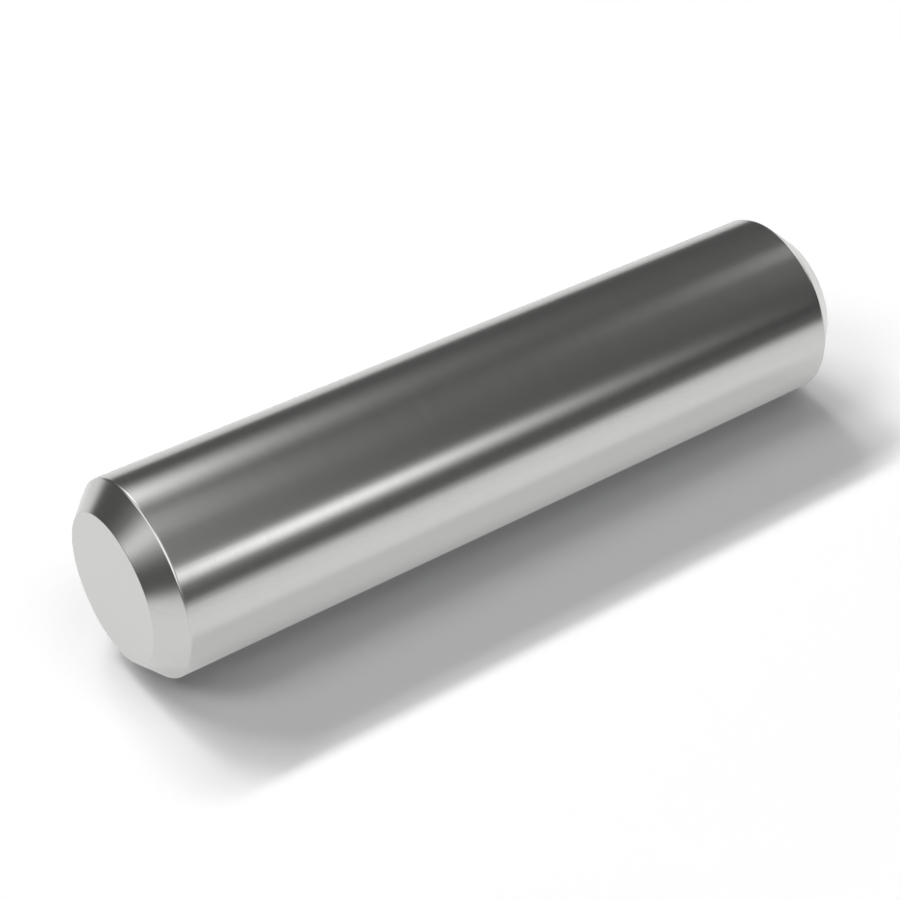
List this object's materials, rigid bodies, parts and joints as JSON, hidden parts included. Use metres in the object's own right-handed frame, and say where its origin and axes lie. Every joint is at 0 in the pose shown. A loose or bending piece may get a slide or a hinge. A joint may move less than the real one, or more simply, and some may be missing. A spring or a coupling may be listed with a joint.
{
  "type": "taper pin",
  "caption": "Plain round steel pin with a slight ground taper and flat chamfered ends, driven into a tapered hole to lock a hub on its shaft.",
  "frame": {"origin": "centre of the small end face, on which the pin stands", "axes": "+Z along the pin's axis, from the small end to the large end; X and Y are free, because the pin is round"},
  "size_m": [0.0065, 0.0066, 0.026],
  "materials": {
    "ground_steel": "satin, finely ground round the pin, with clean turned chamfers and end faces"
  },
  "bodies": {
    "root": {"taper_pin": "ground_steel"}
  },
  "joints": []
}
